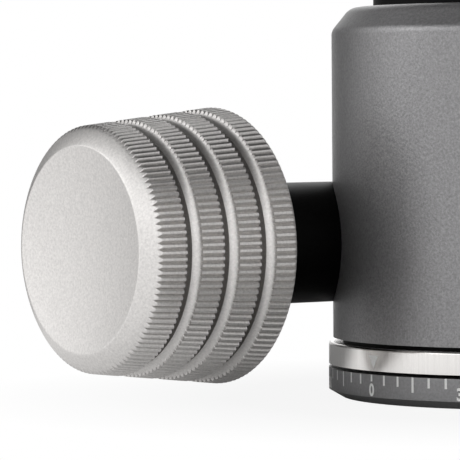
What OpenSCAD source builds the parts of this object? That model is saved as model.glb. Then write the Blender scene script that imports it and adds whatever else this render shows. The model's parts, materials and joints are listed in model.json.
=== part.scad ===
// Tripod ball head with an off-centre lock spindle.
// The lock knob turns a threaded spindle that runs past the side of the ball. The spindle draws a wedge
// along the floor of the housing, the wedge lifts a cup, and the cup presses the ball up into a seat ring.
// The housing pans on a drum that is screwed to the graduated base plate.
// Origin: centre of the base's underside. +Z is up, the lock knob points along -X, the drop notch along -Y.

/* [Base] */
// Diameter of the graduated base plate
base_d = 61.3; // [58:0.1:70]
// Height of the base plate
base_h = 4.2; // [4:0.1:6]
// Bevel at the base plate's lower edge, inwards
base_bevel_in = 1.9; // [0.5:0.1:3]
// Bevel at the base plate's lower edge, upwards
base_bevel_up = 1.1; // [0.5:0.1:2]
// Depth of the relief in the base's underside
relief_depth = 0.5; // [0.2:0.1:0.8]
// Radius where the flat foot of the base plate begins
foot_r = 22; // [20:0.5:24]
// Radius of the tripod thread's envelope, 3/8 inch
thread_r = 4.8; // [3.2:0.1:5]
// Depth of the tripod thread
thread_depth = 10.9; // [9:0.1:11]
// Radius of the threaded bush
bush_r = 8; // [7:0.1:9]

/* [Index ring] */
// Diameter of the index ring
ring_d = 61.26; // [58:0.1:70]
// Height of the index ring
ring_h = 3.16; // [2.5:0.1:5]
// Radial wall of the index ring
ring_wall = 2; // [1.5:0.1:2.5]
// Open line below the index ring
ring_gap = 0.5; // [0.3:0.05:1]
// Open line between the index ring and the housing
body_gap = 0.54; // [0.3:0.02:1]
// Round on the index ring's upper edge
ring_round = 0.4; // [0.2:0.05:0.8]

/* [Housing] */
// Diameter of the housing
body_d = 60; // [58:0.5:64]
// Height of the housing
body_h = 46.8; // [46:0.2:52]
// Slope of the shoulder, measured from the housing's side
shoulder_tilt = 39; // [30:1:50]
// Height of the shoulder
shoulder_h = 4; // [3.6:0.1:5]
// Round between the housing's side and its shoulder
shoulder_low_r = 1.8; // [1:0.1:2.2]
// Round between the shoulder and the housing's top
shoulder_top_r = 2.4; // [1.5:0.1:2.8]
// Thickness of the floor that carries the wedge
floor_t = 4.2; // [4:0.1:6]
// Height of the pan pocket below the floor
pocket_h = 4; // [3.8:0.1:4.4]

/* [Ball] */
// Diameter of the ball
ball_d = 44; // [42:0.5:46]
// Depth of the ball's centre below the housing's top
ball_drop = 7.7; // [7:0.1:9]
// Diameter of the neck
neck_d = 16; // [12:0.5:17]
// Distance from the ball's centre to the neck's top
neck_reach = 33.5; // [33:0.5:40]
// Diameter of the flange at the neck's top
neck_flange_d = 24; // [20:0.5:28]
// Thickness of the flange at the neck's top
neck_flange_t = 2.4; // [2:0.1:2.6]
// Side clearance of the neck in the drop notch
notch_play = 0.7; // [0.4:0.1:1]

/* [Seat and cup] */
// Thickness of the liner between the cup and the ball
liner_t = 0.95; // [0.8:0.05:1.2]
// Radius of the pressure cup
cup_r = 14.4; // [13.8:0.1:14.5]
// Height of the seat ring above the ball
seat_h = 3.4; // [3:0.1:4]
// Height of the dust seal
seal_h = 0.8; // [0.6:0.1:1.2]
// Radial width of the seat ring's and top collar's pocket, outside the ball
mouth_w = 2.65; // [2.4:0.05:2.9]
// Height of the top collar above the housing
collar_proud = 1.2; // [0.8:0.1:3]

/* [Lock] */
// Sideways offset of the lock spindle from the head's axis
lock_y = 19.5; // [19.4:0.1:20]
// Height of the lock spindle above the housing's floor
lock_rise = 5.3; // [5.2:0.1:5.8]
// Diameter of the spindle's journal
spindle_d = 10; // [9.5:0.5:11]
// Diameter of the spindle's thread
lock_thread_d = 8; // [7:0.5:8]
// Diameter of the spindle sleeve
sleeve_d = 17.1; // [16:0.1:17.2]
// Distance from the head's axis to the sleeve's outer end
sleeve_reach = 43; // [40:0.5:60]
// Length of the wedge
wedge_l = 21; // [18:0.5:21]
// Width of the wedge
wedge_w = 16; // [12:0.5:16]
// Height of the wedge at its middle
wedge_h = 3.5; // [3.4:0.1:3.8]
// Rise of the wedge per length
wedge_slope = 0.125; // [0.08:0.005:0.14]

/* [Lock knob] */
// Radius of the lock knob at its rear
knob_rear_r = 19.3; // [18:0.05:20.5]
// Radius of the lock knob where its grip begins
knob_front_r = 17; // [15.5:0.05:18]
// Length of the grip, from the rear to the rim
grip_l = 20.9; // [19:0.1:30]
// Distance from one grip band to the next
band_pitch = 5.75; // [5.5:0.05:6]
// Length of one grip band
band_l = 3.85; // [3.5:0.05:4.2]
// Depth of the grooves between the bands
groove_depth = 1; // [0.6:0.1:1.4]
// Length of the rounded rim in front of the grip
rim_l = 1.4; // [1:0.1:4]
// Radial width of the rounded rim
rim_w = 2.8; // [2:0.1:4]
// Depth of the hollow in the knob's front
dish_depth = 2.2; // [1:0.1:3]

/* [Pan lock] */
// Diameter of the pan lock screw
pan_screw_d = 4; // [3:0.5:4]
// Height of the pan lock screw above the housing's underside
pan_screw_rise = 2.7; // [2.6:0.1:3]
// Diameter of the pan lock knob
pan_knob_d = 17; // [14:0.5:20]
// Length of the pan lock knob
pan_knob_l = 13; // [10:0.5:20]

/* [Clamp] */
// Length of the clamp along its channel
clamp_l = 60; // [50:1:80]
// Thickness of the clamp below its channel
clamp_t = 8; // [8:0.5:12]
// Distance from the head's axis to the fixed jaw's outer side
clamp_half_w = 29; // [27:0.5:34]
// Half of the camera plate's widest width
plate_half_w = 19.2; // [18.8:0.1:19.6]
// Height of the dovetail's upright foot
dovetail_foot = 1.2; // [1:0.1:1.6]
// Height of the dovetail's 45 degree flank
dovetail_flank = 2.8; // [2.4:0.1:3.2]
// Height of the lip above the dovetail
jaw_lip = 1; // [0.8:0.1:2]
// Play between the clamp and its sliding jaw
jaw_play = 2.3; // [2.2:0.1:3]
// Diameter of the clamp screw
clamp_screw_d = 6; // [5:0.5:6]
// Diameter of the clamp knob
clamp_knob_d = 19; // [16:0.5:22]
// Length of the clamp knob
clamp_knob_l = 12; // [10:0.5:20]
// Diameter of the guide pins
guide_pin_d = 4; // [3:0.5:4.5]
// Distance between the guide pins
guide_pin_pitch = 40; // [30:1:44]
// Diameter of the spirit level
level_d = 9; // [8:0.5:10]

/* [Hidden] */

$fn = 96;
small_fn = 48;
over = 1;            // how far a cut runs past the face that it leaves through
run = 0.05;          // radial play of a turning or sliding fit
seat = 0.02;         // play of a fixed fit
face = 0.05;         // play between flat faces that move on each other
free = 0.4;          // open space around the ball, away from its seats

// Heights, from the base's underside up
ring_z = base_h + ring_gap;
body_z = ring_z + ring_h + body_gap;
body_top = body_z + body_h;
floor_under = body_z + pocket_h;
floor_top = floor_under + floor_t;
ball_z = body_top - ball_drop;
lock_z = floor_top + lock_rise;
neck_top = ball_z + neck_reach;

// Pan drum and the ring that keeps it in the housing
base_r = base_d / 2;
ring_r = ring_d / 2;
ring_inner_r = ring_r - ring_wall;
body_r = body_d / 2;
drum_r = 23;
drum_stem_r = 17;
thrust_room = 0.5;     // for the thrust washer above the drum's flange
slip_room = 0.55;      // for the slip ring below it
ring_in = 0.3;         // radial play of the slip ring and the thrust washer
drum_top = floor_under - thrust_room;
drum_under = body_z + slip_room;
drum_web = thread_depth + seat;
brake_groove_depth = 0.8;
groove_flat = 0.6;     // height of the brake groove's floor
retainer_up = 0.2;
stem_play = 0.3;
retainer_z = ring_z + retainer_up;
retainer_bore_r = drum_stem_r + stem_play;
bush_play_r = bush_r + seat;
base_screw_circle_r = (bush_play_r + drum_stem_r) / 2;
base_screw_r = 1.5;
tip_gap = 0.4;         // space left past the tip of a screw or rod in its hole
retaining_screw_circle_r = (drum_r + ring_inner_r) / 2;
retaining_screw_r = 1.25;
screw_head_share = 1.8;   // head radius over shank radius of the countersunk screws
retaining_screw_len = 7;
base_screw_cover = 1;  // metal left above the base screws' holes

// Ball, seat ring, seal and collar
ball_r = ball_d / 2;
neck_r = neck_d / 2;
cavity_r = ball_r + free;
mouth_r = ball_r + mouth_w;
seat_rise = 1.6;       // from the ball's middle up to the seat ring
seal_free = 0.3;       // radial space inside the seal and the collar
seat_z = ball_z + seat_rise;
seal_z = seat_z + seat_h + seat;
collar_z = seal_z + seal_h + seat;
collar_top = body_top + collar_proud;
collar_neck_in = 0.6;
notch_r = neck_r + notch_play;
shoulder_top_flat_r = body_r - shoulder_low_r * (1 - cos(shoulder_tilt)) - shoulder_top_r * cos(shoulder_tilt)
    - tan(shoulder_tilt) * (shoulder_h - shoulder_low_r * sin(shoulder_tilt)
    - shoulder_top_r * (1 - sin(shoulder_tilt)));
grub_r = 1.5;
grub_sunk = 0.6;       // depth of the grub screw's end below the housing's side
hex_r = 0.75;          // hexagon socket of the small screws
hex_depth = 1.4;
grub_z = seat_z + seat_h / 2;

// Cup, wedge and spindle
liner_in_r = ball_r + run;
liner_out_r = liner_in_r + liner_t;
cup_seat_r = liner_out_r + run;
cup_play = 0.1;
cup_bore_r = cup_r + cup_play;
cup_rim_z = ball_z - sqrt(cup_seat_r * cup_seat_r - cup_r * cup_r) - cup_play;
cup_bore_top = ball_z - sqrt(cavity_r * cavity_r - cup_bore_r * cup_bore_r) + over;
wedge_mid_z = floor_top + wedge_h;
spindle_r = spindle_d / 2;
sleeve_r = sleeve_d / 2;
lock_thread_r = lock_thread_d / 2;
nut_wall = 0.9;
nut_r = lock_thread_r + nut_wall;
lug_wall = 1.1;
lug_half = nut_r + lug_wall;
lug_l = 12;
lug_face_y = lock_y - lug_half;
lug_play = 0.6;        // between the cup's flat and the lug's face
cup_flat_y = lug_face_y - lug_play;
lug_pocket_half = 9.6;
lug_pocket_play = 0.4;
sleeve_end = 9.9;
sleeve_lip = 1.5;
arm_half = 5;
arm_h = 1.8;
circlip_t = 0.8;
circlip_proud = 1.1;
circlip_r = lock_thread_r + circlip_proud;
circlip_slot = 1.6;    // width of the gap in the circlip
circlip_groove = 0.6;
tail_step = 0.8;
tail_r = lock_thread_r - tail_step;
tail_end = 15;
washer_room = 0.6;     // for the washer between the sleeve and the knob
washer_in = 0.4;       // how much smaller that washer is than the sleeve
knob_rear_x = sleeve_reach + washer_room;
knob_bore_depth = 14;
hub_r = 8.2;
rear_recess_r = 15;
rear_recess_depth = 3;
knob_taper = (knob_rear_r - knob_front_r) / grip_l;
set_screw_r = 1.5;
set_screw_sunk = 5;    // depth of the lock knob's set screw below the knob's surface
small_set_r = 1.05;    // set screws of the two small knobs
small_set_sunk = 0.6;
small_set_x = 2.1;     // from a small knob's rear face to its set screw

// Pan lock
pan_z = body_z + pan_screw_rise;
pan_screw_r = pan_screw_d / 2;
shoe_play = 0.15;      // between the shoe and the drum, when the pan lock is tight
shoe_inset = 3.6;
shoe_start = drum_r + shoe_play;
shoe_end = body_r - shoe_inset;
pan_knob_gap = 2.4;
pan_knob_x = body_r + pan_knob_gap;
pan_knob_bore = 7;

// Clamp
clamp_z = neck_top;
channel_z = clamp_z + clamp_t;
clamp_top = channel_z + dovetail_foot + dovetail_flank + jaw_lip;
jaw_edge = plate_half_w - dovetail_flank;
jaw_foot = 1.9;        // width of the sliding jaw's foot under its dovetail
base_edge = plate_half_w - jaw_foot - jaw_play;
jaw_lift = 0.3;        // height of the sliding jaw above the clamp's underside
edge_in = 1;           // bevels along the clamp's outer edges
foot_groove = 0.3;     // relief at the foot of the fixed dovetail
foot_groove_x = jaw_edge - foot_groove;
clamp_screw_rise = 3.9;
clamp_screw_z = clamp_z + clamp_screw_rise;
clamp_screw_r = clamp_screw_d / 2;
clamp_screw_tip = 8.5;
clamp_screw_room = 2.5;   // for the screw's tip to travel in
clamp_round = 2;
bolt_r = 3;
bolt_head_r = 5;
bolt_head_h = 3.6;
bolt_len = 20;
bolt_washer_t = 0.6;
bolt_sunk = 0.4;       // depth of the bolt's head below the channel's floor
bolt_pocket_play = 0.3;
bolt_hex_r = 2.75;
bolt_hex_depth = 2.4;
bolt_seat_z = channel_z - bolt_head_h - bolt_washer_t - bolt_sunk;
guide_pin_r = guide_pin_d / 2;
pin_root = 2;
pin_tip = 26.5;
clamp_knob_gap = 0.7;
clamp_knob_x = clamp_half_w + clamp_knob_gap;
clamp_washer_rim = 3;
clamp_knob_bore = 8;
level_r = level_d / 2;
level_rim = 1.2;       // metal outside the level
level_inset = 8;
level_x = level_r + level_rim - clamp_half_w;
level_y = clamp_l / 2 - level_inset;
level_depth = 2.7;
level_wall = 0.8;
level_sunk = 0.2;      // depth of the glass below the level's rim

function arc(cx, cy, r, from, to, n = 8) =
    [for (i = [0:n]) let (a = from + (to - from) * i / n) [cx + r * cos(a), cy + r * sin(a)]];

// A ring about Z between two heights
module ring(outer, inner, low, high) {
    difference() {
        translate([0, 0, low]) cylinder(r = outer, h = high - low);
        translate([0, 0, low - over]) cylinder(r = inner, h = high - low + 2 * over);
    }
}

// A cylinder along X between two places
module rod_x(r, from, to, fn = $fn) {
    translate([from, 0, 0]) rotate([0, 90, 0]) cylinder(r = r, h = to - from, $fn = fn);
}

// Turns an outline of [distance along X, radius] points about the X axis
module turned_x(points) {
    rotate([0, 90, 0]) rotate_extrude() polygon([for (p = points) [p[1], p[0]]]);
}

// Copies its children evenly about Z
module around(count, first = 0) {
    for (i = [0:count - 1]) rotate([0, 0, first + i * 360 / count]) children();
}

// A countersunk screw, head down, from height low to high
module countersunk_screw(r, low, high) {
    head_r = r * screw_head_share;
    translate([0, 0, low]) cylinder(r1 = head_r, r2 = r, h = head_r - r, $fn = small_fn);
    translate([0, 0, low]) cylinder(r = r, h = high - low, $fn = small_fn);
}

// The hole for such a screw, with play all round
module countersunk_hole(r, low, high) {
    head_r = r * screw_head_share + run;
    hole_r = r + run;
    translate([0, 0, low - over]) cylinder(r = head_r, h = over + seat, $fn = small_fn);
    translate([0, 0, low]) cylinder(r1 = head_r, r2 = hole_r, h = head_r - hole_r, $fn = small_fn);
    translate([0, 0, low]) cylinder(r = hole_r, h = high - low, $fn = small_fn);
}

// The slot that the neck drops into, open upwards and towards -Y
module drop_notch() {
    translate([0, 0, ball_z]) rotate([90, 0, 0]) cylinder(r = notch_r, h = body_r + over);
    translate([-notch_r, -body_r - over, ball_z]) cube([2 * notch_r, body_r + over, body_top]);
}

module at_lock_axis() {
    translate([0, lock_y, lock_z]) children();
}

// A fluted hand knob along +X: a rim-rounded drum with flutes around its grip and a hollow end
module fluted_knob(r, len, bore_r, bore_depth) {
    flutes = 18;
    flute_r = 0.9;
    flute_out = 0.3;
    edge = 1.6;
    hollow = 1;
    difference() {
        turned_x(concat([[0, 0], [0, r - edge]], arc(edge, r - edge, edge, 180, 90),
            arc(len - edge, r - edge, edge, 90, 0), [[len - hollow, r / 2], [len - hollow, 0]]));
        for (i = [0:flutes - 1]) rotate([i * 360 / flutes, 0, 0])
            translate([0, 0, r + flute_out]) rod_x(flute_r, len / 4, len - edge - flute_r, small_fn);
        rod_x(bore_r, -over, bore_depth, small_fn);
    }
}

module base_plate() {
    color("dimgray") difference() {
        rotate_extrude() polygon([
            [bush_play_r, 0], [base_r - base_bevel_in, 0], [base_r, base_bevel_up], [base_r, base_h],
            [bush_play_r, base_h]
        ]);
        ring(foot_r, drum_stem_r, -over, relief_depth);
        around(4, 45) translate([base_screw_circle_r, 0, 0])
            countersunk_hole(base_screw_r, relief_depth, base_h + over);
    }
}

module thread_bush() {
    color("silver") ring(bush_r, thread_r, 0, thread_depth);
}

module pan_drum() {
    brake_r = drum_r - brake_groove_depth;
    groove_z = pan_z - 2 * groove_flat - tip_gap;
    color("gray") difference() {
        rotate_extrude() polygon([
            [0, drum_web], [bush_play_r, drum_web], [bush_play_r, base_h], [drum_stem_r, base_h],
            [drum_stem_r, drum_under], [drum_r, drum_under], [drum_r, groove_z],
            [brake_r, groove_z + groove_flat], [brake_r, groove_z + 2 * groove_flat], [drum_r, pan_z],
            [drum_r, drum_top], [0, drum_top]
        ]);
        around(4, 45) translate([base_screw_circle_r, 0, base_h - over])
            cylinder(r = base_screw_r + run, h = drum_web - base_h + over - base_screw_cover, $fn = small_fn);
    }
}

module base_screws() {
    color("silver") around(4, 45) translate([base_screw_circle_r, 0, 0])
        countersunk_screw(base_screw_r, relief_depth + seat, drum_web - base_screw_cover - tip_gap);
}

module housing() {
    shoulder_z = body_top - shoulder_h;
    color([0.42, 0.42, 0.44]) difference() {
        rotate_extrude() polygon(concat(
            [[0, body_z], [body_r, body_z]],
            arc(body_r - shoulder_low_r, shoulder_z, shoulder_low_r, 0, shoulder_tilt),
            arc(shoulder_top_flat_r, body_top - shoulder_top_r, shoulder_top_r, shoulder_tilt, 90),
            [[0, body_top]]));
        // pan pocket, ball cavity, mouth and the cup's guide
        translate([0, 0, body_z - over]) cylinder(r = drum_r + run, h = pocket_h + over);
        translate([0, 0, ball_z]) sphere(r = cavity_r);
        translate([0, 0, ball_z]) cylinder(r = cavity_r, h = body_h);
        translate([0, 0, seat_z - seat]) cylinder(r = mouth_r, h = body_h);
        translate([0, 0, floor_top]) cylinder(r = cup_bore_r, h = cup_bore_top - floor_top);
        drop_notch();
        // sleeve bore, lug pocket and the spindle's tail bearing
        at_lock_axis() {
            rod_x(sleeve_r + seat, -body_r - over, seat - lug_pocket_half);
            rod_x(tail_r + run, 0, tail_end + tip_gap);
        }
        lug_pocket();
        // pan lock screw and seat grub screw
        translate([0, 0, pan_z]) rod_x(pan_screw_r + run, drum_r - over, body_r + over);
        translate([0, 0, grub_z]) rod_x(grub_r + seat, mouth_r - over, body_r + over, small_fn);
        around(6, 30) translate([retaining_screw_circle_r, 0, body_z - over])
            cylinder(r = retaining_screw_r + seat, h = retaining_screw_len, $fn = small_fn);
    }
}

// Room for the wedge's lug and nut beside the cup's guide
module lug_pocket() {
    side = lug_face_y - 2 * lug_play;
    translate([-lug_pocket_half, side, floor_top])
        cube([2 * lug_pocket_half, lock_y + lug_half + lug_pocket_play - side,
            lock_rise + lug_half + lug_pocket_play]);
}

module index_ring() {
    top = ring_z + ring_h;
    color("silver") rotate_extrude() polygon(concat(
        [[ring_inner_r, ring_z], [ring_r, ring_z]],
        arc(ring_r - ring_round, top - ring_round, ring_round, 0, 90),
        [[ring_inner_r, top]]));
}

module retaining_ring() {
    color("black") difference() {
        ring(ring_inner_r - seat, retainer_bore_r, retainer_z, body_z);
        around(6, 30) translate([retaining_screw_circle_r, 0, 0])
            countersunk_hole(retaining_screw_r, retainer_z, body_z + over);
    }
}

module retaining_screws() {
    color("silver") around(6, 30) translate([retaining_screw_circle_r, 0, 0])
        countersunk_screw(retaining_screw_r, retainer_z + seat, body_z - over + retaining_screw_len - tip_gap);
}

module slip_ring() {
    color("ivory") ring(drum_r - ring_in, retainer_bore_r + ring_in, body_z + face, drum_under - face);
}

module thrust_washer() {
    color("ivory") ring(drum_r - ring_in, bush_r, drum_top + face, floor_under - face);
}

module spindle_sleeve() {
    color("black") at_lock_axis() difference() {
        rod_x(sleeve_r, -sleeve_reach, -sleeve_end);
        rod_x(spindle_r + run, -sleeve_reach - over, -sleeve_end - sleeve_lip);
        rod_x(lock_thread_r + run, -sleeve_reach, -sleeve_end + over);
    }
}

// A ring that fits the housing's mouth and clears the ball by gap, open at the drop notch
module mouth_ring(low, high, gap) {
    difference() {
        translate([0, 0, low]) cylinder(r = mouth_r - seat, h = high - low);
        translate([0, 0, ball_z]) sphere(r = ball_r + gap);
        drop_notch();
    }
}

module seat_ring() {
    color("ivory") mouth_ring(seat_z, seat_z + seat_h, run);
}

module dust_seal() {
    color("dimgray") mouth_ring(seal_z, seal_z + seal_h, seal_free);
}

module top_collar() {
    color("black") difference() {
        union() {
            mouth_ring(collar_z, body_top, seal_free);
            mouth_ring(collar_z, collar_top, seal_free);
        }
        ring(mouth_r + over, mouth_r - collar_neck_in, body_top, collar_top + over);
    }
}

module seat_grub_screw() {
    color("silver") translate([0, 0, grub_z]) difference() {
        rod_x(grub_r, mouth_r, body_r - grub_sunk, small_fn);
        rod_x(hex_r, body_r - grub_sunk - hex_depth, body_r, 6);
    }
}

// The lock knob's outline, as [distance from its rear, radius]
function knob_r(t) = knob_rear_r - knob_taper * t;
function groove(i) = let (t = (i - 1) * band_pitch + band_l, w = band_pitch - band_l) [
    [t, knob_r(t)], [t + w * 0.5, knob_r(t) - groove_depth], [t + w, knob_r(t + w) - groove_depth],
    [t + w, knob_r(t + w)]
];
dish_edge_r = knob_front_r - rim_w;
dish_r = (dish_edge_r * dish_edge_r + dish_depth * dish_depth) / (2 * dish_depth);
dish_angle = asin(dish_edge_r / dish_r);

module lock_knob() {
    front = grip_l + rim_l;
    color("silver") at_lock_axis() translate([-knob_rear_x, 0, 0]) rotate([0, 0, 180]) difference() {
        turned_x(concat(
            [[0, 0], [0, knob_rear_r]], groove(1), groove(2), groove(3),
            [for (p = arc(0, 0, 1, 90, 0)) [grip_l + rim_l * p[0], dish_edge_r + rim_w * p[1]]],
            arc(front - dish_depth + dish_r, 0, dish_r, 180 - dish_angle, 180)));
        difference() {
            rod_x(rear_recess_r, -over, rear_recess_depth);
            rod_x(hub_r, -2 * over, rear_recess_depth + over);
        }
        rod_x(spindle_r + seat, -over, knob_bore_depth);
        translate([hub_r, 0, -knob_rear_r - over]) cylinder(r = set_screw_r + seat, h = knob_rear_r, $fn = small_fn);
    }
}

module lock_spindle() {
    groove_x = -sleeve_end + face;
    color("gray") at_lock_axis() difference() {
        union() {
            rod_x(spindle_r, -knob_rear_x - knob_bore_depth + tip_gap, -sleeve_end - sleeve_lip - face);
            rod_x(lock_thread_r, -sleeve_reach, lug_pocket_half - tip_gap);
            rod_x(tail_r, 0, tail_end);
        }
        difference() {
            rod_x(spindle_r, groove_x, groove_x + circlip_t + face);
            rod_x(lock_thread_r - circlip_groove, groove_x - over, groove_x + circlip_t + over);
        }
    }
}

module lock_washer() {
    color("black") at_lock_axis() difference() {
        rod_x(sleeve_r - washer_in, -knob_rear_x + face, -sleeve_reach - face);
        rod_x(spindle_r + run, -knob_rear_x - over, -sleeve_reach + over);
    }
}

module spindle_circlip() {
    low = -sleeve_end + 2 * face;
    color("silver") at_lock_axis() difference() {
        rod_x(circlip_r, low, low + circlip_t - 2 * face, small_fn);
        rod_x(lock_thread_r - circlip_groove + seat, low - over, low + circlip_t + over, small_fn);
        translate([low - over, -circlip_slot / 2, 0])
            cube([circlip_t + 2 * over, circlip_slot, circlip_r + over]);
    }
}

module lock_set_screw() {
    color("gray") at_lock_axis() translate([-knob_rear_x - hub_r, 0, set_screw_sunk - knob_rear_r]) difference() {
        cylinder(r = set_screw_r, h = knob_rear_r - set_screw_sunk - spindle_r - seat, $fn = small_fn);
        translate([0, 0, -over]) cylinder(r = hex_r, h = over + hex_depth, $fn = 6);
    }
}

module wedge() {
    half = wedge_l / 2;
    low = floor_top + face;
    color("gray") {
        translate([0, wedge_w / 2, 0]) rotate([90, 0, 0]) linear_extrude(wedge_w) polygon([
            [-half, low], [half, low], [half, wedge_mid_z + half * wedge_slope],
            [-half, wedge_mid_z - half * wedge_slope]
        ]);
        translate([-arm_half, 0, low]) cube([2 * arm_half, lug_face_y + over, arm_h]);
        difference() {
            translate([-lug_l / 2, lug_face_y, low])
                cube([lug_l, 2 * lug_half, lock_rise - face + lug_half]);
            at_lock_axis() rod_x(nut_r + seat, -lug_l, lug_l);
        }
    }
}

module spindle_nut() {
    color("goldenrod") at_lock_axis() difference() {
        rod_x(nut_r, -lug_l / 2, lug_l / 2);
        rod_x(lock_thread_r + run, -lug_l, lug_l);
    }
}

module pressure_cup() {
    low = wedge_mid_z + face;
    reach = cup_r + over;
    color("gray") difference() {
        translate([0, 0, floor_top]) cylinder(r = cup_r, h = cup_rim_z - floor_top);
        translate([0, reach, 0]) rotate([90, 0, 0]) linear_extrude(2 * reach) polygon([
            [-reach, floor_top - over], [reach, floor_top - over], [reach, low + reach * wedge_slope],
            [-reach, low - reach * wedge_slope]
        ]);
        translate([-reach, cup_flat_y, floor_top - over]) cube([2 * reach, reach, body_h]);
        translate([0, 0, ball_z]) sphere(r = cup_seat_r);
    }
}

module cup_liner() {
    liner_edge_r = cup_flat_y;
    color("ivory") intersection() {
        difference() {
            translate([0, 0, ball_z]) sphere(r = liner_out_r);
            translate([0, 0, ball_z]) sphere(r = liner_in_r);
        }
        translate([0, 0, floor_top]) cylinder(r = liner_edge_r, h = ball_z - floor_top - ball_r / 2);
    }
}

module ball() {
    color("silver") difference() {
        union() {
            translate([0, 0, ball_z]) sphere(r = ball_r);
            translate([0, 0, ball_z]) cylinder(r = neck_r, h = neck_reach);
            translate([0, 0, neck_top - neck_flange_t]) cylinder(r = neck_flange_d / 2, h = neck_flange_t);
        }
        translate([0, 0, bolt_seat_z - bolt_len - over])
            cylinder(r = bolt_r + run, h = bolt_len + body_h, $fn = small_fn);
    }
}

// Cross-section of one jaw's inner flank, from the channel's floor to its top, as [x, z]
function flank() = [
    [plate_half_w, channel_z], [plate_half_w, channel_z + dovetail_foot],
    [jaw_edge, channel_z + dovetail_foot + dovetail_flank], [jaw_edge, clamp_top]
];

// A jaw's cross-section drawn out along the channel, with rounded outer corners
module jaw_bar(points, inner) {
    intersection() {
        translate([0, clamp_l / 2, 0]) rotate([90, 0, 0]) linear_extrude(clamp_l) polygon(points);
        translate([0, 0, clamp_z - over]) linear_extrude(clamp_top - clamp_z + 2 * over) union() {
            translate([inner, -clamp_l / 2]) square([clamp_half_w - clamp_round - inner, clamp_l]);
            translate([inner, clamp_round - clamp_l / 2])
                square([clamp_half_w - inner, clamp_l - 2 * clamp_round]);
            for (side = [-1, 1])
                translate([clamp_half_w - clamp_round, side * (clamp_l / 2 - clamp_round)])
                    circle(r = clamp_round, $fn = small_fn);
        }
    }
}

module clamp_base() {
    color([0.2, 0.2, 0.21]) difference() {
        mirror([1, 0, 0]) jaw_bar(concat(
            [[-base_edge, clamp_z], [clamp_half_w - edge_in, clamp_z], [clamp_half_w, clamp_z + edge_in],
            [clamp_half_w, clamp_top - edge_in], [clamp_half_w - edge_in, clamp_top]],
            [for (i = [3:-1:1]) flank()[i]], [
                [plate_half_w, channel_z - foot_groove], [foot_groove_x, channel_z - foot_groove],
                [foot_groove_x, channel_z], [-base_edge, channel_z]
            ]), -base_edge);
        translate([0, 0, clamp_z - over]) cylinder(r = bolt_r + run, h = clamp_t + 2 * over, $fn = small_fn);
        translate([0, 0, bolt_seat_z]) cylinder(r = bolt_head_r + bolt_pocket_play, h = clamp_t + over);
        translate([0, 0, clamp_screw_z]) rod_x(clamp_screw_r + run, clamp_screw_tip - clamp_screw_room, base_edge + over, small_fn);
        for (side = [-1, 1]) translate([0, side * guide_pin_pitch / 2, clamp_screw_z])
            rod_x(guide_pin_r + seat, pin_root - seat, base_edge + over, small_fn);
        translate([level_x, level_y, clamp_top - level_depth]) cylinder(r = level_r + seat, h = clamp_top);
    }
}

module clamp_bolt() {
    color("gray") difference() {
        union() {
            translate([0, 0, bolt_seat_z + bolt_washer_t]) cylinder(r = bolt_head_r, h = bolt_head_h);
            translate([0, 0, bolt_seat_z - bolt_len]) cylinder(r = bolt_r, h = bolt_len + over, $fn = small_fn);
        }
        translate([0, 0, bolt_seat_z + bolt_washer_t + bolt_head_h - bolt_hex_depth])
            cylinder(r = bolt_hex_r, h = bolt_hex_depth + over, $fn = 6);
    }
}

module bolt_washer() {
    color("silver") ring(bolt_head_r, bolt_r + run, bolt_seat_z, bolt_seat_z + bolt_washer_t);
}

module guide_pins() {
    color("silver") for (side = [-1, 1]) translate([0, side * guide_pin_pitch / 2, clamp_screw_z])
        rod_x(guide_pin_r, pin_root, pin_tip, small_fn);
}

module level_case() {
    color("black") translate([level_x, level_y, 0]) difference() {
        translate([0, 0, clamp_top - level_depth]) cylinder(r = level_r, h = level_depth);
        translate([0, 0, clamp_top - level_depth + level_wall])
            cylinder(r = level_r - level_wall, h = level_depth);
    }
}

module level_vial() {
    vial_r = level_r - level_wall - seat;
    color("yellowgreen") translate([level_x, level_y, clamp_top - level_depth + level_wall])
        cylinder(r = vial_r, h = level_depth - level_wall - level_sunk);
}

module moving_jaw() {
    inner = base_edge + jaw_play;
    low = clamp_z + jaw_lift;
    color([0.2, 0.2, 0.21]) difference() {
        jaw_bar(concat(
            [[inner, low], [clamp_half_w - edge_in, low], [clamp_half_w, low + edge_in],
            [clamp_half_w, clamp_top - edge_in], [clamp_half_w - edge_in, clamp_top]],
            [for (i = [3:-1:0]) flank()[i]], [[inner, channel_z]]), jaw_edge - over);
        translate([0, 0, clamp_screw_z]) rod_x(clamp_screw_r + run, 0, clamp_half_w + over, small_fn);
        for (side = [-1, 1]) translate([0, side * guide_pin_pitch / 2, clamp_screw_z])
            rod_x(guide_pin_r + run, 0, clamp_half_w + over, small_fn);
    }
}

module clamp_screw() {
    color("gray") translate([0, 0, clamp_screw_z])
        rod_x(clamp_screw_r, clamp_screw_tip, clamp_knob_x + clamp_knob_bore - tip_gap, small_fn);
}

module clamp_knob() {
    color("silver") translate([clamp_knob_x, 0, clamp_screw_z]) difference() {
        fluted_knob(clamp_knob_d / 2, clamp_knob_l, clamp_screw_r + seat, clamp_knob_bore);
        translate([small_set_x, 0, -clamp_knob_d])
            cylinder(r = small_set_r + seat, h = clamp_knob_d, $fn = small_fn);
    }
}

module clamp_washer() {
    color("black") translate([0, 0, clamp_screw_z]) difference() {
        rod_x(clamp_screw_r + clamp_washer_rim, clamp_half_w + face, clamp_knob_x - face);
        rod_x(clamp_screw_r + run, clamp_half_w - over, clamp_knob_x + over, small_fn);
    }
}

module clamp_set_screw() {
    start = small_set_sunk - clamp_knob_d / 2;
    color("gray") translate([clamp_knob_x + small_set_x, 0, clamp_screw_z + start])
        cylinder(r = small_set_r, h = -start - clamp_screw_r - seat, $fn = small_fn);
}

module brake_shoe() {
    color("goldenrod") translate([0, 0, pan_z]) rod_x(pan_screw_r, shoe_start, shoe_end);
}

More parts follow.
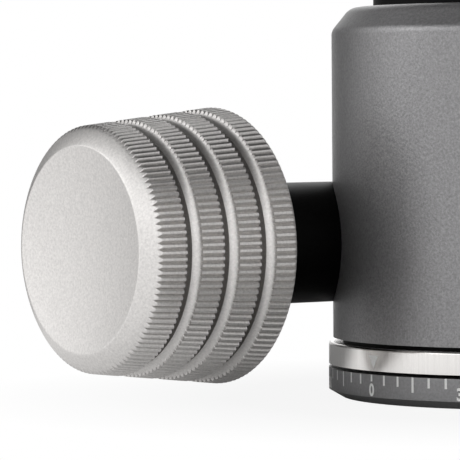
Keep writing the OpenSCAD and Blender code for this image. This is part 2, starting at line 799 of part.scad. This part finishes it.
module pan_screw() {
    color("gray") translate([0, 0, pan_z])
        rod_x(pan_screw_r, shoe_end + face, pan_knob_x + pan_knob_bore - tip_gap);
}

module pan_knob() {
    color("silver") translate([pan_knob_x, 0, pan_z]) difference() {
        fluted_knob(pan_knob_d / 2, pan_knob_l, pan_screw_r + seat, pan_knob_bore);
        translate([small_set_x, 0, 0]) cylinder(r = small_set_r + seat, h = pan_knob_d, $fn = small_fn);
    }
}

module pan_set_screw() {
    start = pan_screw_r + seat;
    color("gray") translate([pan_knob_x + small_set_x, 0, pan_z + start])
        cylinder(r = small_set_r, h = pan_knob_d / 2 - small_set_sunk - start, $fn = small_fn);
}

base_plate();
thread_bush();
pan_drum();
base_screws();
housing();
index_ring();
retaining_ring();
retaining_screws();
slip_ring();
thrust_washer();
spindle_sleeve();
seat_ring();
dust_seal();
top_collar();
seat_grub_screw();
lock_knob();
lock_spindle();
lock_washer();
spindle_circlip();
lock_set_screw();
wedge();
spindle_nut();
pressure_cup();
cup_liner();
ball();
clamp_base();
clamp_bolt();
bolt_washer();
guide_pins();
level_case();
level_vial();
moving_jaw();
clamp_screw();
clamp_knob();
clamp_washer();
clamp_set_screw();
brake_shoe();
pan_screw();
pan_knob();
pan_set_screw();
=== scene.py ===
"""Looks of a tripod ball head: knurled lock knob, graduated base, anodised finishes, soft light."""

import json
import math

import bpy
from mathutils import Matrix, Vector

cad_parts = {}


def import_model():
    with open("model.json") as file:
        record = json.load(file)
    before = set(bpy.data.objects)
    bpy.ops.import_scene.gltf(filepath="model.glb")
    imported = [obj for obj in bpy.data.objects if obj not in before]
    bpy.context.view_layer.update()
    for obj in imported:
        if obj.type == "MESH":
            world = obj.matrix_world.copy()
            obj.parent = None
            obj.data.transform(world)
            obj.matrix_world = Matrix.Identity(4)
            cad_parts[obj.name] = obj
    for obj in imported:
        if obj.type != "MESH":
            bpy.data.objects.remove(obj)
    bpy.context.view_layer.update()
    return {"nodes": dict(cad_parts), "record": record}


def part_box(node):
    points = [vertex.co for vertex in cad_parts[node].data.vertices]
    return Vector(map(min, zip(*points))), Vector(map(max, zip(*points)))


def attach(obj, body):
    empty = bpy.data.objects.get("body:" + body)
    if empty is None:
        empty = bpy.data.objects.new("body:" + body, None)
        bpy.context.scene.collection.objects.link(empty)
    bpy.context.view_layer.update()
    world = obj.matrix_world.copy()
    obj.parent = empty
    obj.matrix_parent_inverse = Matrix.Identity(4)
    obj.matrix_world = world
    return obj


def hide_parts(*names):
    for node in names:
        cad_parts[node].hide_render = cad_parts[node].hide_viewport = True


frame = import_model()

MM = 0.001

# Places and sizes that the frame gives
knob_low, knob_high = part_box("lock_knob")
KNOB_REAR_X = knob_high[0]
KNOB_Y = (knob_low[1] + knob_high[1]) / 2
KNOB_Z = (knob_low[2] + knob_high[2]) / 2
KNOB_REAR_R = (knob_high[2] - knob_low[2]) / 2 / MM
BASE_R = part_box("base_plate")[1][0]
BASE_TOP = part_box("base_plate")[1][2]
RING_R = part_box("index_ring")[1][0]
RING_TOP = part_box("index_ring")[1][2]

# Lock knob, in millimetres from its rear face: taper of its grip as radius lost per length
KNOB_TAPER = 0.11
# Knurling: teeth round the knob, depth, half of the flat land as a share of the pitch, samples
# down a flank and the power that bends it
TEETH = 120
TOOTH_DEPTH = 0.45
TOOTH_LAND = 0.18
TOOTH_STEPS = 4
TOOTH_BEND = 1.2
# Knurled bands: how many, from one front edge to the next, and how long the rear one is. The groove
# between two of them is a cove, then a slot.
BANDS = 4
BAND_PITCH = 5.72
BAND_LENGTH = 3.5
GROOVE_WIDTH = 2.3
COVE = 1.0
COVE_DEPTH = 0.95
COVE_STEPS = 12
SLOT_DEPTH = 3.8
SLOT_WALL = 0.03
# Rear face: outer bevel, recess, hub and bore, and the angle in degrees above which edges are sharp
REAR_BEVEL = 0.35
BEVEL_STEPS = 8
KNOB_SHARP = 45
RECESS_R = 15.0
RECESS_DEPTH = 3.0
RECESS_BEVEL = 0.3
HUB_R = 8.2
BORE_R = 5.02
BORE_DEPTH = 6.0
# Rounded rim from the grip to the crest, as a Bezier curve, and the hollow inside the crest
RIM_START = 20.9
RIM_REACH = 0.4
RIM_STEPS = 16
CREST_T = 22.95
CREST_R = 14.2
CREST_REACH = 0.9
CREST_TILT = math.radians(25)
DISH_EDGE = 0.15
DISH_DEPTH = 1.2
DISH_STEPS = 16
DISH_CENTRE_R = 0.02

# Graduations, in millimetres and degrees: where the 0 and the triangle stand, and how ticks repeat
ZERO_AZIMUTH = math.radians(178.2)
INDEX_AZIMUTH = math.radians(179.0)
TICK_STEP = 5
LONG_TICK_STEP = 15
NUMERAL_STEP = 30
TICK_WIDTH = 0.38
SHORT_TICK = 1.4
LONG_TICK = 2.1
NUMBERED_TICK = 0.94
NUMERAL_HEIGHT = 1.8
NUMERAL_GAP = 0.25
NUMERAL_WIDTH_SHARE = 0.95
NUMERAL_BOLD = 0.035
NUMERAL_CURVE_STEPS = 6
MARK_LIFT = 0.02
INDEX_WIDTH = 2.0
INDEX_HEIGHT = 1.8
INDEX_DROP = 1.0

# Camera: bearing and distance from the pan axis, height, turns off that axis, and lens
CAMERA_AZIMUTH = math.radians(228.9)
CAMERA_DISTANCE = 0.54064
CAMERA_HEIGHT = 0.0417
CAMERA_YAW = 0.0826
CAMERA_PITCH = -0.0334
CAMERA_ROLL = -0.0072
CAMERA_LENS = 296.67
CAMERA_NEAR = 0.01


# ---------------------------------------------------------------- node helpers


# Sockets of a Mix node: the two colours it mixes, the colour it gives, and the two plain values
MIX_DARK, MIX_LIGHT, MIX_COLOR = 6, 7, 2
MIX_VALUE_A, MIX_VALUE_B = 2, 3


class Graph:
    """A material's node tree with short calls for the nodes used here."""

    def __init__(self, name):
        self.material = bpy.data.materials.new(name)
        self.material.use_nodes = True
        self.tree = self.material.node_tree
        self.tree.nodes.clear()
        self.output = self.add("ShaderNodeOutputMaterial")
        self.coords = None

    def add(self, kind, **values):
        node = self.tree.nodes.new(kind)
        for key, value in values.items():
            setattr(node, key, value)
        return node

    def link(self, source, target):
        self.tree.links.new(source, target)

    def object_coords(self, stretch=(1, 1, 1)):
        """Object coordinates, squeezed along an axis to draw a pattern out along it."""
        if self.coords is None:
            self.coords = self.add("ShaderNodeTexCoord")
        mapping = self.add("ShaderNodeMapping")
        mapping.inputs["Scale"].default_value = stretch
        self.link(self.coords.outputs["Object"], mapping.inputs["Vector"])
        return mapping.outputs["Vector"]

    def noise(self, size_mm, detail=2.0, roughness=0.5, stretch=(1, 1, 1)):
        """Noise whose features are about size_mm across."""
        node = self.add("ShaderNodeTexNoise")
        node.inputs["Scale"].default_value = 1 / (size_mm * MM)
        node.inputs["Detail"].default_value = detail
        node.inputs["Roughness"].default_value = roughness
        self.link(self.object_coords(stretch), node.inputs["Vector"])
        return node.outputs["Fac"]

    def between(self, factor, low, high, near=0.3, far=0.7):
        """Maps a factor from near..far to low..high."""
        node = self.add("ShaderNodeMapRange")
        node.inputs["From Min"].default_value = near
        node.inputs["From Max"].default_value = far
        node.inputs["To Min"].default_value = low
        node.inputs["To Max"].default_value = high
        self.link(factor, node.inputs["Value"])
        return node.outputs["Result"]

    def shades(self, factor, dark, light):
        """A colour between two shades, chosen by a factor."""
        node = self.add("ShaderNodeMix", data_type="RGBA")
        node.inputs[MIX_DARK].default_value = (*dark, 1)
        node.inputs[MIX_LIGHT].default_value = (*light, 1)
        self.link(self.between(factor, 0, 1), node.inputs[0])
        return node.outputs[MIX_COLOR]

    def bump(self, height, depth_mm, strength=1.0):
        node = self.add("ShaderNodeBump")
        node.inputs["Distance"].default_value = depth_mm * MM
        node.inputs["Strength"].default_value = strength
        self.link(height, node.inputs["Height"])
        return node.outputs["Normal"]

    def principled(self, color, roughness, normal, **values):
        node = self.add("ShaderNodeBsdfPrincipled")
        for key, value in values.items():
            node.inputs[key].default_value = value
        self.link(color, node.inputs["Base Color"])
        self.link(roughness, node.inputs["Roughness"])
        self.link(normal, node.inputs["Normal"])
        self.link(node.outputs["BSDF"], self.output.inputs["Surface"])
        return self.material


def scaled(color, factor):
    return tuple(channel * factor for channel in color)


# ------------------------------------------------------------------- materials


# Wave scale of the turning marks, which sets their rings 2 pi / (20 * scale) = 1.6 mm apart
TURNING_SCALE = 200.0


def blasted(name, color, roughness, contrast=0.12, depth_mm=0.02, metallic=1.0):
    """Bead-blasted and anodised aluminium: a fine pitted grain with faint cloudy patches."""
    g = Graph(name)
    grain = g.noise(0.35, detail=3, roughness=0.65)
    cloud = g.noise(9, detail=2)
    tone = g.shades(grain, scaled(color, 1 - contrast), scaled(color, 1 + contrast))
    rough = g.between(cloud, roughness - 0.03, roughness + 0.03)
    normal = g.bump(grain, depth_mm)
    return g.principled(tone, rough, normal, Metallic=metallic)


def turned(name, color, roughness=0.3):
    """Lathe-turned metal: fine rings about the Z axis and a little stain."""
    g = Graph(name)
    wave = g.add("ShaderNodeTexWave", wave_type="BANDS", bands_direction="Z")
    wave.inputs["Scale"].default_value = TURNING_SCALE
    wave.inputs["Distortion"].default_value = 0.4
    g.link(g.object_coords(), wave.inputs["Vector"])
    stain = g.noise(4, detail=3)
    tone = g.shades(stain, scaled(color, 0.9), scaled(color, 1.08))
    rough = g.between(stain, roughness - 0.05, roughness + 0.07)
    normal = g.bump(wave.outputs["Fac"], 0.01, 0.5)
    return g.principled(tone, rough, normal, Metallic=1.0)


def satin_ring(name, color):
    """Satin aluminium with faint streaks along the axis."""
    g = Graph(name)
    streak = g.noise(0.5, detail=3, stretch=(1, 1, 0.04))
    tone = g.shades(streak, scaled(color, 0.93), scaled(color, 1.05))
    rough = g.between(streak, 0.14, 0.22)
    normal = g.bump(streak, 0.006)
    return g.principled(tone, rough, normal, Metallic=1.0)


def polished_ball(name, color):
    """Hard-anodised ball, nearly polished, with a very fine grain."""
    g = Graph(name)
    grain = g.noise(0.12, detail=2)
    cloud = g.noise(6, detail=3)
    tone = g.shades(cloud, scaled(color, 0.92), scaled(color, 1.1))
    rough = g.between(cloud, 0.2, 0.28)
    normal = g.bump(grain, 0.002)
    return g.principled(tone, rough, normal, Metallic=1.0)


def moulded(name, color, roughness=0.45):
    """Moulded or machined plastic: fine tooling grain and a soft gloss."""
    g = Graph(name)
    grain = g.noise(0.35, detail=3)
    cloud = g.noise(5, detail=2)
    tone = g.shades(cloud, scaled(color, 0.93), scaled(color, 1.04))
    rough = g.between(grain, roughness - 0.05, roughness + 0.08)
    normal = g.bump(grain, 0.008)
    return g.principled(tone, rough, normal, Metallic=0.0)


def rubber(name, color):
    """Matt rubber with a coarse grain."""
    g = Graph(name)
    grain = g.noise(0.5, detail=4, roughness=0.6)
    tone = g.shades(grain, scaled(color, 0.8), scaled(color, 1.3))
    rough = g.between(grain, 0.65, 0.8)
    normal = g.bump(grain, 0.03)
    return g.principled(tone, rough, normal, Metallic=0.0)


def level_liquid(name, color):
    """Tinted liquid under a clear lens."""
    g = Graph(name)
    haze = g.noise(1.5, detail=2)
    tone = g.shades(haze, scaled(color, 0.95), scaled(color, 1.05))
    rough = g.between(haze, 0.03, 0.08)
    normal = g.bump(haze, 0.002)
    return g.principled(
        tone, rough, normal, Metallic=0.0, IOR=1.48,
        **{"Transmission Weight": 0.75, "Coat Weight": 0.6}
    )


def paint(name, color):
    """Filled engraving: matt paint, slightly uneven."""
    g = Graph(name)
    grain = g.noise(0.2, detail=3)
    tone = g.shades(grain, scaled(color, 0.92), color)
    rough = g.between(grain, 0.5, 0.65)
    normal = g.bump(grain, 0.004)
    return g.principled(tone, rough, normal, Metallic=0.0)


MATERIALS = {
    "knob_silver": blasted("bead-blasted silver", (0.705, 0.688, 0.674), 0.48),
    "body_titan": blasted(
        "bead-blasted titanium grey", (0.28, 0.277, 0.282), 0.37,
        contrast=0.22, depth_mm=0.04, metallic=0.6,
    ),
    "ring_satin": satin_ring("satin aluminium", (0.86, 0.84, 0.82)),
    "base_graphite": blasted("bead-blasted graphite", (0.29, 0.288, 0.293), 0.38),
    "black_anodised": blasted("bead-blasted black", (0.008, 0.008, 0.008), 0.5, contrast=0.2),
    "plain_aluminium": turned("turned aluminium", (0.72, 0.71, 0.70)),
    "ball_anodised": polished_ball("hard-anodised ball", (0.11, 0.11, 0.115)),
    "steel": turned("turned steel", (0.55, 0.54, 0.53)),
    "black_steel": turned("black oxide steel", (0.05, 0.05, 0.052), 0.35),
    "bronze": turned("turned bronze", (0.62, 0.42, 0.20)),
    "acetal": moulded("natural acetal", (0.72, 0.69, 0.60)),
    "black_acetal": moulded("black acetal", (0.02, 0.02, 0.021)),
    "seal_rubber": rubber("seal rubber", (0.03, 0.03, 0.03)),
    "level_glass": level_liquid("level liquid", (0.55, 0.85, 0.12)),
}
MARK_PAINT = paint("white marking paint", (0.86, 0.86, 0.85))


def dress_nodes():
    """Gives every CAD node the material of its slot."""
    slots = {part["node"]: part["material_slot"] for part in frame["record"]["subparts"]}
    for name, obj in frame["nodes"].items():
        if not obj.material_slots:
            obj.data.materials.append(None)
        for slot in obj.material_slots:
            slot.material = MATERIALS[slots[name]]


# ---------------------------------------------------------------------- meshes


def mesh_object(name, vertices, faces, material, sharp_degrees=30):
    mesh = bpy.data.meshes.new(name)
    mesh.from_pydata(vertices, [], faces)
    mesh.validate()
    mesh.shade_smooth()
    mesh.set_sharp_from_angle(angle=math.radians(sharp_degrees))
    mesh.materials.append(material)
    obj = bpy.data.objects.new(name, mesh)
    bpy.context.scene.collection.objects.link(obj)
    return obj


def arc(cx, cy, r, start, end, steps):
    """Points on an arc, from and to angles in degrees."""
    angles = [math.radians(start + (end - start) * i / steps) for i in range(steps + 1)]
    return [(cx + r * math.cos(a), cy + r * math.sin(a)) for a in angles]


def tip_radius(t):
    """Radius over the knurl's tips at a distance from the knob's rear."""
    return KNOB_REAR_R - KNOB_TAPER * t


def knob_outline():
    """The lock knob's turned outline, from its bore to its dish: distances and radii."""
    points = [
        (BORE_DEPTH, BORE_R), (0.0, BORE_R), (0.0, HUB_R - RECESS_BEVEL), (RECESS_BEVEL, HUB_R),
        (RECESS_DEPTH, HUB_R), (RECESS_DEPTH, RECESS_R),
        (RECESS_BEVEL, RECESS_R), (0.0, RECESS_R + RECESS_BEVEL),
    ]
    bevel = REAR_BEVEL + TOOTH_DEPTH
    points += arc(bevel, KNOB_REAR_R - bevel, bevel, 180, 95, BEVEL_STEPS)
    for band in range(BANDS - 1):
        front = BAND_LENGTH + band * BAND_PITCH
        points += groove(front)
        middle = front + BAND_PITCH - BAND_LENGTH / 2
        points.append((middle, tip_radius(middle)))
    return points + rim_and_dish()


def groove(front):
    """A groove's outline: a cove falling from a band's front edge, then a slot to the next band."""
    points = []
    for i in range(COVE_STEPS + 1):
        a = math.pi / 2 * i / COVE_STEPS
        t = front + COVE * (1 - math.cos(a))
        points.append((t, tip_radius(t) - COVE_DEPTH * math.sin(a)))
    rear = front + GROOVE_WIDTH
    slot_r = tip_radius(rear) - SLOT_DEPTH
    return points + [
        (front + COVE + SLOT_WALL, slot_r),
        (rear, slot_r),
        (rear + SLOT_WALL, tip_radius(rear)),
    ]


def rim_and_dish():
    """The outline's rounded rim up to a soft crest, and the shallow hollow of the front."""
    start = Vector((RIM_START, tip_radius(RIM_START)))
    crest = Vector((CREST_T, CREST_R))
    ahead = start + RIM_REACH * Vector((1, -KNOB_TAPER))
    beside = crest + CREST_REACH * Vector((-math.sin(CREST_TILT), math.cos(CREST_TILT)))
    points = []
    for i in range(RIM_STEPS + 1):
        s = i / RIM_STEPS
        rest = 1 - s
        point = (
            rest ** 3 * start + 3 * s * rest ** 2 * ahead
            + 3 * s * s * rest * beside + s ** 3 * crest
        )
        points.append(tuple(point))
    shares = [1 - DISH_EDGE / CREST_R] + [1 - i / DISH_STEPS for i in range(1, DISH_STEPS + 1)]
    for share in shares:
        depth = DISH_DEPTH * (1 - share * share)
        points.append((CREST_T - depth, max(CREST_R * share, DISH_CENTRE_R)))
    return points


def tooth_cuts():
    """A tooth's samples round the knob: a flat land, then flanks that steepen to the valleys."""
    half = []
    for i in range(TOOTH_STEPS + 1):
        offset = TOOTH_LAND + (0.5 - TOOTH_LAND) * i / TOOTH_STEPS
        half.append((offset, (i / TOOTH_STEPS) ** TOOTH_BEND))
    return [(-offset, depth) for offset, depth in reversed(half[:-1])] + half


def knob_skin():
    """The knurled lock knob: its outline turned about the lock axis, cut by V grooves."""
    outline = knob_outline()
    around = []
    for tooth in range(TEETH):
        for offset, depth in tooth_cuts():
            around.append((2 * math.pi * (tooth + offset) / TEETH, depth * TOOTH_DEPTH))
    vertices, faces = [], []
    for t, r in outline:
        for angle, cut in around:
            radius = min(r, tip_radius(t) - cut)
            vertices.append((
                KNOB_REAR_X - t * MM,
                KNOB_Y + radius * MM * math.cos(angle),
                KNOB_Z + radius * MM * math.sin(angle),
            ))
    count = len(around)
    for start in range(0, (len(outline) - 1) * count, count):
        for i in range(count):
            j = (i + 1) % count
            faces.append((start + i, start + j, start + count + j, start + count + i))
    last = (len(outline) - 1) * count
    faces.append(tuple(last + i for i in range(count)))
    faces.append(tuple(reversed(range(count))))
    return mesh_object("knurled_lock_knob", vertices, faces, MATERIALS["knob_silver"], KNOB_SHARP)


def on_cylinder(radius, azimuth, across_mm, z):
    """A point on the cylinder, across_mm to the viewer's right of an azimuth."""
    a = azimuth + across_mm * MM / radius
    r = radius + MARK_LIFT * MM
    return (r * math.cos(a), r * math.sin(a), z)


def scale_marks():
    """Ticks round the base plate's side, longer every 15 degrees, short above the numerals."""
    vertices, faces = [], []
    for degree in range(0, 360, TICK_STEP):
        azimuth = ZERO_AZIMUTH + math.radians(degree)
        length = LONG_TICK if degree % LONG_TICK_STEP == 0 else SHORT_TICK
        if degree % NUMERAL_STEP == 0:
            length = NUMBERED_TICK
        start = len(vertices)
        for side in (-0.5, 0.5):
            for z in (BASE_TOP, BASE_TOP - length * MM):
                vertices.append(on_cylinder(BASE_R, azimuth, side * TICK_WIDTH, z))
        faces.append((start, start + 1, start + 3, start + 2))
    return mesh_object("scale_ticks", vertices, faces, MARK_PAINT)


def numeral_mesh(text):
    """A numeral's flat outline as vertices and faces, one unit high and centred on its width."""
    curve = bpy.data.curves.new("numeral", "FONT")
    curve.body = text
    curve.align_x = "CENTER"
    curve.resolution_u = NUMERAL_CURVE_STEPS
    curve.offset = NUMERAL_BOLD
    obj = bpy.data.objects.new("numeral", curve)
    bpy.context.scene.collection.objects.link(obj)
    mesh = bpy.data.meshes.new_from_object(obj.evaluated_get(bpy.context.evaluated_depsgraph_get()))
    points = [v.co.copy() for v in mesh.vertices]
    polygons = [tuple(p.vertices) for p in mesh.polygons]
    bpy.data.objects.remove(obj)
    bpy.data.curves.remove(curve)
    bpy.data.meshes.remove(mesh)
    low = min(p.y for p in points)
    high = max(p.y for p in points)
    size = 1 / (high - low)
    return [(p.x * size, (p.y - low) * size) for p in points], polygons


def numerals():
    """Degree numerals below every sixth tick."""
    vertices, faces = [], []
    top = BASE_TOP - (NUMBERED_TICK + NUMERAL_GAP) * MM
    for degree in range(0, 360, NUMERAL_STEP):
        azimuth = ZERO_AZIMUTH + math.radians(degree)
        points, polygons = numeral_mesh(str(degree))
        start = len(vertices)
        for x, y in points:
            across = x * NUMERAL_HEIGHT * NUMERAL_WIDTH_SHARE
            z = top - (1 - y) * NUMERAL_HEIGHT * MM
            vertices.append(on_cylinder(BASE_R, azimuth, across, z))
        faces += [tuple(start + i for i in polygon) for polygon in polygons]
    return mesh_object("scale_numerals", vertices, faces, MARK_PAINT)


def index_mark():
    """The white triangle on the index ring, point down."""
    top = RING_TOP - INDEX_DROP * MM
    corners = [(-0.5, 0), (0, 0), (0.5, 0), (0, 1)]
    vertices = [
        on_cylinder(RING_R, INDEX_AZIMUTH, u * INDEX_WIDTH, top - v * INDEX_HEIGHT * MM)
        for u, v in corners
    ]
    return mesh_object("index_triangle", vertices, [(0, 3, 1), (1, 3, 2)], MARK_PAINT)


# ----------------------------------------------------------------------- stage


# Floor: its own tone, the share of plain white that it shows to the camera near the object, and the
# share that it shows in reflections far from it. Both grow from the near to the far distance, which
# are in metres, as is half of its side.
# The reflected share, missing near the object, is painted shade round it on top of the floor's real
# shadow.
FLOOR_TONE = 0.5
FLOOR_SHOWN = 0.9
FLOOR_REFLECTED = 1.0
FLOOR_NEAR = 0.045
FLOOR_FAR = 0.085
FLOOR_HALF = 4.0
# The sector of the floor, to the left behind the object, whose white is taken out of reflections,
# painted shade on the floor: degrees to the left of the camera, and from its middle to where it is
# full and where it ends
PAINTED_SHADE_LEFT = 133
PAINTED_SHADE_CORE = 16
PAINTED_SHADE_EDGE = 30


def floor():
    """A plain pale floor that keeps the object's shadow and fades to white away from it; painted
    shade darkens its reflections near the object and in a sector behind on the left.
    """
    g = Graph("white floor")
    diffuse = g.add("ShaderNodeBsdfDiffuse")
    diffuse.inputs["Color"].default_value = (FLOOR_TONE, FLOOR_TONE, FLOOR_TONE, 1)
    glow = g.add("ShaderNodeEmission")
    glow.inputs["Color"].default_value = (1, 1, 1, 1)
    path = g.add("ShaderNodeLightPath")
    reflected = g.add("ShaderNodeMath", operation="MAXIMUM")
    g.link(path.outputs["Is Glossy Ray"], reflected.inputs[0])
    g.link(path.outputs["Is Transmission Ray"], reflected.inputs[1])
    length = g.add("ShaderNodeVectorMath", operation="LENGTH")
    g.link(g.object_coords(), length.inputs[0])
    shown = g.between(length.outputs["Value"], FLOOR_SHOWN, 1, FLOOR_NEAR, FLOOR_FAR)
    reflected_share = g.add("ShaderNodeMath", operation="MULTIPLY")
    g.link(reflected.outputs[0], reflected_share.inputs[0])
    # Painted shade: within a sector to the left behind the object the floor shows no white in
    # reflections, so it reads as shaded there.
    painted_shade_azimuth = CAMERA_AZIMUTH - math.radians(PAINTED_SHADE_LEFT)
    place = g.add("ShaderNodeVectorMath", operation="NORMALIZE")
    g.link(g.object_coords(), place.inputs[0])
    aim = g.add("ShaderNodeVectorMath", operation="DOT_PRODUCT")
    g.link(place.outputs["Vector"], aim.inputs[0])
    aim.inputs[1].default_value = (math.cos(painted_shade_azimuth), math.sin(painted_shade_azimuth), 0)
    edge, core = math.cos(math.radians(PAINTED_SHADE_EDGE)), math.cos(math.radians(PAINTED_SHADE_CORE))
    painted_shade_sector = g.between(aim.outputs["Value"], 1, 0, edge, core)
    # Painted shade with real shadow under it: within the near distance reflections see only the
    # diffuse floor, so the floor reads darker round the object.
    far = g.between(length.outputs["Value"], 0, FLOOR_REFLECTED, FLOOR_NEAR, FLOOR_FAR)
    white_outside_painted_shade = g.add("ShaderNodeMath", operation="MULTIPLY")
    g.link(far, white_outside_painted_shade.inputs[0])
    g.link(painted_shade_sector, white_outside_painted_shade.inputs[1])
    g.link(white_outside_painted_shade.outputs[0], reflected_share.inputs[1])
    share = g.add("ShaderNodeMath", operation="MULTIPLY_ADD")
    g.link(path.outputs["Is Camera Ray"], share.inputs[0])
    g.link(shown, share.inputs[1])
    g.link(reflected_share.outputs[0], share.inputs[2])
    mix = g.add("ShaderNodeMixShader")
    g.link(share.outputs[0], mix.inputs[0])
    g.link(diffuse.outputs[0], mix.inputs[1])
    g.link(glow.outputs[0], mix.inputs[2])
    g.link(mix.outputs[0], g.output.inputs["Surface"])
    corners = ((-1, -1), (1, -1), (1, 1), (-1, 1))
    vertices = [(x * FLOOR_HALF, y * FLOOR_HALF, 0) for x, y in corners]
    obj = mesh_object("floor", vertices, [(0, 1, 2, 3)], g.material)


# Brightness of the studio around the object, by degrees to the left of the camera, as it sees them
STUDIO = (
    (-180, 1.2), (-150, 0.25), (-110, 0.2), (-80, 0.33), (-50, 0.75), (-20, 1.05), (10, 1.15),
    (35, 1.0), (50, 0.95), (65, 1.15), (81, 1.45), (91, 1.62), (99, 0.88), (110, 0.58),
    (120, 0.4), (130, 0.1), (148, 0.05), (160, 0.5), (180, 1.2),
)
# How much of it is left, by the sine of the elevation
ELEVATIONS = (
    (0.0, 1.0), (0.12, 1.05), (0.29, 1.55), (0.5, 2.0),
    (0.6, 0.8), (0.7, 0.15), (0.85, 0.05), (1.0, 0.03),
)
# The highest level that either table may hold
STUDIO_TOP = 2.0


class WorldGraph:
    """The world's node tree with short calls for the nodes used here."""

    def __init__(self, world):
        world.use_nodes = True
        self.tree = world.node_tree
        self.tree.nodes.clear()

    def put(self, value, socket):
        if isinstance(value, bpy.types.NodeSocket):
            self.tree.links.new(value, socket)
        else:
            socket.default_value = value

    def add(self, kind, *values, **settings):
        node = self.tree.nodes.new(kind)
        for key, value in settings.items():
            setattr(node, key, value)
        for socket, value in zip(node.inputs, values):
            self.put(value, socket)
        return node

    def math(self, operation, *values):
        return self.add("ShaderNodeMath", *values, operation=operation).outputs[0]

    def ramp(self, factor, stops):
        """A level by a factor from 0 to 1, from stops of (place, level)."""
        node = self.add("ShaderNodeValToRGB", factor)
        node.color_ramp.interpolation = "EASE"
        elements = node.color_ramp.elements
        for i, (place, level) in enumerate(stops):
            stop = elements[i] if i < 2 else elements.new(place)
            value = level / STUDIO_TOP
            stop.position = place
            stop.color = (value, value, value, 1)
        return self.math("MULTIPLY", node.outputs["Color"], STUDIO_TOP)


def world():
    """The studio: brightest on the left, dim on the right, dark above and in a gap behind."""
    studio = bpy.data.worlds.new("studio")
    bpy.context.scene.world = studio
    g = WorldGraph(studio)
    direction = g.add("ShaderNodeTexCoord").outputs["Generated"]
    split = g.add("ShaderNodeSeparateXYZ", direction)
    azimuth = g.math("ARCTAN2", split.outputs["Y"], split.outputs["X"])
    turn = g.math("DIVIDE", g.math("SUBTRACT", CAMERA_AZIMUTH, azimuth), 2 * math.pi)
    turn = g.math("FRACT", g.math("ADD", turn, 0.5))
    around = g.ramp(turn, [((degrees + 180) / 360, level) for degrees, level in STUDIO])
    height = g.math("MAXIMUM", split.outputs["Z"], 0.0)
    level = g.math("MULTIPLY", around, g.ramp(height, ELEVATIONS))
    path = g.add("ShaderNodeLightPath")
    shown = g.add("ShaderNodeMix", path.outputs["Is Camera Ray"], data_type="FLOAT")
    g.put(level, shown.inputs[MIX_VALUE_A])
    g.put(1.0, shown.inputs[MIX_VALUE_B])
    background = g.add("ShaderNodeBackground", (1, 1, 1, 1), shown.outputs[0])
    g.add("ShaderNodeOutputWorld", background.outputs[0])


def camera():
    """The camera on its bearing from the head's axis, turned a little off that axis."""
    yaw, pitch, roll = CAMERA_YAW, CAMERA_PITCH, CAMERA_ROLL
    level = math.cos(pitch)
    forward = Vector((-math.sin(yaw) * level, math.cos(yaw) * level, math.sin(pitch)))
    right = Vector((math.cos(yaw), math.sin(yaw), 0))
    up = right.cross(forward)
    right, up = (
        math.cos(roll) * right + math.sin(roll) * up,
        math.cos(roll) * up - math.sin(roll) * right,
    )
    turn = Matrix.Rotation(CAMERA_AZIMUTH + math.pi / 2, 3, "Z")
    axes = [turn @ right, turn @ up, turn @ -forward]
    matrix = Matrix([[axis[row] for axis in axes] for row in range(3)]).to_4x4()
    matrix.translation = (
        CAMERA_DISTANCE * math.cos(CAMERA_AZIMUTH),
        CAMERA_DISTANCE * math.sin(CAMERA_AZIMUTH),
        CAMERA_HEIGHT,
    )
    data = bpy.data.cameras.new("camera")
    data.lens = CAMERA_LENS
    data.clip_start = CAMERA_NEAR
    obj = bpy.data.objects.new("camera", data)
    obj.matrix_world = matrix
    bpy.context.scene.collection.objects.link(obj)
    bpy.context.scene.camera = obj


def dress():
    """Gives the part its finishes, its knurled knob and its markings."""
    dress_nodes()
    knob = knob_skin()
    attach(knob, "lock_knob")
    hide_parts("lock_knob")
    for piece in (scale_marks(), numerals()):
        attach(piece, "base")
    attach(index_mark(), "housing")


camera()
dress()
floor()
world()
bpy.context.scene.view_settings.view_transform = "Standard"
